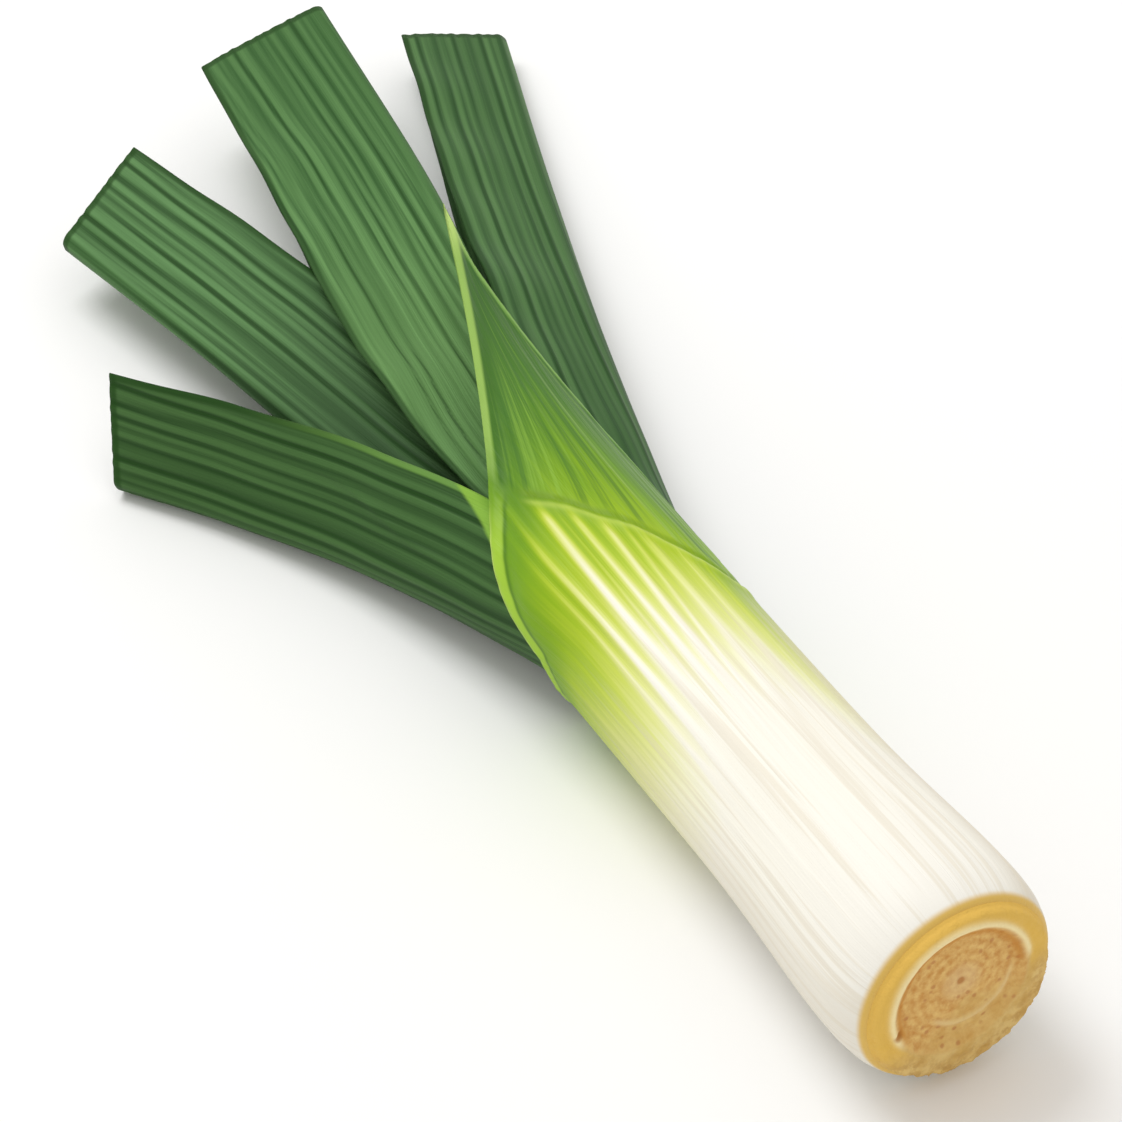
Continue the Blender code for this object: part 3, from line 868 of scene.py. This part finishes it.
def leaf_finish(
    name, dark, pale, base_reach=0.0, dim_end=0.0, neck_light_and_shade=NECK_SHADE_GREEN, neck_light_and_shade_share=0.0, collar=False
):
    """A waxy blade: dark lines in the valleys between pale veins, and a dark edge along the sides and the
    cut.

    Lime reaches base_reach up from the neck, neck_light_and_shade lies over the lower stretch by
    neck_light_and_shade_share, and dim_end is how much darker the cut end is. A dark neck tone is painted
    shade where the blade sits behind the front leaf and the other blades, and a pale one is painted light. A
    collar is the lime stretch with a slanting edge where the leaf leaves the lip.
    """
    made = Finish(name, roughness=0.45, gloss=0.10)
    _, (across, along, face) = made.field("grow")
    _, (edge, to_end, ribs) = made.field("margin")
    bands = made.noise(made.joined(across * 0.20, along * 0.006, face * 3.0), 1.0, 2.0, 0.55)
    veins = made.noise(made.joined(across * 0.9, along * 0.009, face * 5.0), 1.0, 2.0, 0.6)
    threads = made.noise(made.joined(across * 3.2, along * 0.02, face * 7.0), 1.0, 1.0)
    crest = (ribs * 0.62 + (veins - 0.5) * 1.1 + (threads - 0.5) * 0.5).between(-0.75, 0.55)
    colour = made.mix(crest, dark, pale)
    colour = made.mix(bands.between(0.60, 0.36) * 0.45, colour, dark)
    colour = made.mix(to_end.between(90.0, 0.0) * dim_end, colour, dark)
    # Painted shade near the neck, where the blade sits behind the others; a pale tone here is painted light.
    colour = made.mix(along.between(165.0, 85.0) * neck_light_and_shade_share, colour, neck_light_and_shade)
    colour = made.mix((ribs + (veins - 0.5)).between(-0.75, -1.25) * 0.6, colour, RIM_GREEN)
    colour = made.mix(edge.between(1.6, 0.7) * 0.8, colour, RIM_GREEN)
    colour = made.mix(to_end.between(2.2, 1.2) * 0.8, colour, RIM_GREEN)
    colour = made.mix(along.between(base_reach + 22.0, base_reach), colour, shade(110, 156, 50))
    if collar:
        upper = across.between(-2.0, 1.0)
        pale_edge = edge.between(1.3, 0.7) * upper * along.between(112.0, 60.0)
        colour = made.mix(pale_edge * 0.85, colour, shade(112, 156, 74))
        line = along - across * 1.84 - 4.0 + (bands - 0.5) * 2.0
        colour = made.mix(line.between(1.0, -1.2) * upper, colour, shade(134, 178, 66))
        colour = made.mix(line.between(-3.0, -9.0) * upper, colour, shade(112, 156, 50))
    made.set("Base Color", colour)
    made.set("Roughness", 0.42 + veins * 0.16)
    made.set("Normal", made.relief(veins * 0.6 + threads * 0.4, 0.00026))
    return made.material


def plate_finish():
    """Golden cut tissue: a smooth band at the rim, a pale arc and a warm, speckled, faintly ringed heart."""
    made = Finish("root plate", roughness=0.7, gloss=0.3)
    grow, (x, _, z) = made.field("grow")
    _, (radius, from_edge, underside) = made.field("margin")

    def distance(centre):
        return ((x - centre[0]) * (x - centre[0]) + (z - centre[1]) * (z - centre[1])) ** 0.5

    level = radius / PLATE_RADIUS
    from_arc, from_heart, from_inner = distance(ARC_CENTRE), distance(HEART), distance(INNER_CENTRE)
    mottle = made.noise(grow, 0.26, 3.0, 0.6)
    speck = made.noise(grow, 0.62, 3.0, 0.6)
    dots = made.cells(grow, 0.42)
    colour = made.mix(mottle.between(0.3, 0.7), shade(204, 164, 88), shade(222, 190, 120))
    heart = from_arc.between(ARC_RADIUS + 0.2, ARC_RADIUS - 0.8)
    ringed = (from_heart * RING_TURN + mottle * 7.0).sine() * 0.5 + 0.5
    grained = ringed * 0.30 + speck.between(0.3, 0.7) * 0.70
    inner = made.mix(grained, shade(198, 142, 70), shade(228, 190, 116))
    inner = made.mix(from_heart.between(5.5, 2.0) * 0.45, inner, shade(222, 190, 138))
    face = from_edge.between(0.45, 0.8)
    colour = made.mix(heart * face * underside.between(1.25, 0.7), colour, inner)
    colour = made.mix(heart * face * dots.between(0.30, 0.10) * 0.6, colour, shade(178, 112, 62))
    gold = from_arc.between(ARC_RADIUS - 0.2, ARC_RADIUS + 0.8) * underside.between(0.95, 0.45)
    colour = made.mix(gold, colour, shade(224, 182, 84))
    seen = underside.between(0.66, 0.36)
    shadow = from_arc.bell(ARC_RADIUS - 1.7, 0.9) * seen * face
    colour = made.mix(shadow * 0.75, colour, shade(196, 130, 44))
    arc = from_arc.bell(ARC_RADIUS, 0.75) * seen * face
    colour = made.mix(arc, colour, shade(244, 224, 168))
    inner_arc = from_inner.bell(INNER_RADIUS, 0.7) * underside.between(0.42, 0.8) * face
    colour = made.mix(inner_arc * 0.7, colour, shade(230, 202, 142))
    low = underside.between(0.5, 0.95) * level.between(0.55, 0.95)
    colour = made.mix(low * speck.between(0.40, 0.66) * 0.7, colour, shade(184, 142, 74))
    pit = distance(PIT)
    colour = made.mix(pit.between(1.5, 0.5) * face * 0.85, colour, shade(176, 112, 34))
    colour = made.mix(from_heart.between(1.1, 0.5) * face * 0.8, colour, shade(178, 118, 58))
    made.set("Base Color", colour)
    made.set("Roughness", 0.62 + speck * 0.25)
    made.set("Normal", made.relief(speck * 0.7 + dots * 0.3, 0.0005))
    return made.material


def floor_finish():
    """A plain pale surface with a barely uneven sheen."""
    made = Finish("studio floor", roughness=0.9)
    where = made.node("ShaderNodeTexCoord", {}, {}, "Object")
    cloud = made.noise(where, 3.0, 2.0)
    made.set("Base Color", made.mix(cloud, shade(243, 243, 242), shade(246, 246, 245)))
    return made.material


def crease_on_outer_leaf(across, along):
    """A shallow fold that curves down the upper half of the left outer leaf: a bell round a line in
    millimetres."""
    line = 12.5 + 7.0 * smooth((along - 55) / 34)
    reach = smooth((along - 44) / 12) * smooth((96 - along) / 12)
    return 0.45 * bell(across - line, 0.8) * reach


def no_notes(across, along):
    """Nothing added to a leaf's relief."""
    return 0 * across


# ---------------------------------------------------------------- the whole leek

LEAF_LOOKS = {
    "left_outer_leaf": dict(dark=shade(38, 69, 30), pale=shade(70, 106, 56), collar=True),
    # Painted shade darkens this blade near the neck, where it sits deep behind the front leaf.
    "left_inner_leaf": dict(
        dark=shade(42, 78, 34),
        pale=shade(94, 136, 82),
        base_reach=6.0,
        neck_light_and_shade_share=0.6,
    ),
    "right_inner_leaf": dict(
        dark=shade(46, 86, 38),
        pale=shade(96, 138, 80),
        base_reach=6.0,
        dim_end=0.40,
        # Painted light lifts this blade near the neck, where the front leaf shades it.
        neck_light_and_shade=shade(112, 154, 88),
        neck_light_and_shade_share=0.40,
    ),
    # A faint painted shade near the neck.
    "right_outer_leaf": dict(
        dark=shade(42, 78, 36),
        pale=shade(82, 120, 68),
        base_reach=6.0,
        neck_light_and_shade_share=0.15,
    ),
}
LEAF_NOTES = {"left_outer_leaf": crease_on_outer_leaf}
FIRST_SEED, SEED_STEP = 40, 7

build_shaft(shaft_finish())
build_root_plate(plate_finish())
for number, (leaf_name, leaf) in enumerate(LEAVES.items()):
    leaf_look = leaf_finish(leaf_name.replace("_", " "), **LEAF_LOOKS[leaf_name])
    notes = LEAF_NOTES.get(leaf_name, no_notes)
    build_leaf(leaf_name, leaf_look, FIRST_SEED + SEED_STEP * number, notes, **leaf)


# ---------------------------------------------------------------- floor, lights and camera

FLOOR_HALF = 3.0  # metres
floor_mesh = bpy.data.meshes.new("floor")
corners = [(x * FLOOR_HALF, y * FLOOR_HALF, 0) for x, y in ((-1, -1), (1, -1), (1, 1), (-1, 1))]
floor_mesh.from_pydata(corners, [], [(0, 1, 2, 3)])
floor_mesh.materials.append(floor_finish())
floor = bpy.data.objects.new("floor", floor_mesh)
bpy.context.scene.collection.objects.link(floor)

AZIMUTH, ELEVATION = math.radians(-30.7), math.radians(40.0)
DISTANCE = 0.950  # metres
HALF_FIELD = math.radians(7.0)
AIM = (17.57, 167.79, -6.99)  # the middle of the view, in the drawing
SENSOR = 36.0
NEAREST, FARTHEST = 0.05, 20.0
back = np.array(
    [math.sin(AZIMUTH) * math.cos(ELEVATION), -math.cos(AZIMUTH) * math.cos(ELEVATION), math.sin(ELEVATION)]
)
right = np.array([math.cos(AZIMUTH), math.sin(AZIMUTH), 0.0])
middle = np.array([(cad_box[0][0] + cad_box[1][0]) / 2, (cad_box[0][1] + cad_box[1][1]) / 2, cad_box[0][2]])
aim = place(np.array(AIM))


def looking(thing, eye, target):
    """Turns a thing at eye so that its -Z looks at the target with +Y up."""
    towards = np.asarray(target) - np.asarray(eye)
    thing.location = Vector(eye)
    thing.rotation_euler = Vector(towards).to_track_quat("-Z", "Y").to_euler()


camera_data = bpy.data.cameras.new("camera")
camera_data.sensor_width = SENSOR
camera_data.lens = camera_data.sensor_width / 2 / math.tan(HALF_FIELD)
camera_data.clip_start, camera_data.clip_end = NEAREST, FARTHEST
camera = bpy.data.objects.new("camera", camera_data)
bpy.context.scene.collection.objects.link(camera)
looking(camera, aim + back * DISTANCE, aim)
bpy.context.scene.camera = camera


def softbox(name, towards, distance, size, power, tint):
    """A square soft light that looks at the leek's middle from a direction given as right, away and up."""
    away = np.array([-back[0], -back[1], 0.0]) / math.hypot(back[0], back[1])
    direction = right * towards[0] + away * towards[1] + np.array([0, 0, 1.0]) * towards[2]
    direction /= np.linalg.norm(direction)
    light = bpy.data.lights.new(name, "AREA")
    light.shape, light.size = "SQUARE", size
    light.energy, light.color = power, tint
    lamp = bpy.data.objects.new(name, light)
    bpy.context.scene.collection.objects.link(lamp)
    looking(lamp, middle + direction * distance, middle)


KEY_TINT = (0.98, 0.985, 1.0)
softbox("key softbox", towards=(-0.45, 0.38, 1.0), distance=1.6, size=0.9, power=12.0, tint=KEY_TINT)

ROOM_TINT, ROOM_LIGHT = (1.0, 0.985, 0.965, 1), 0.80
world = bpy.data.worlds.new("studio")
world.use_nodes = True
surroundings = world.node_tree.nodes["Background"]
surroundings.inputs["Color"].default_value = ROOM_TINT
surroundings.inputs["Strength"].default_value = ROOM_LIGHT
bpy.context.scene.world = world
bpy.context.scene.view_settings.view_transform = "Standard"
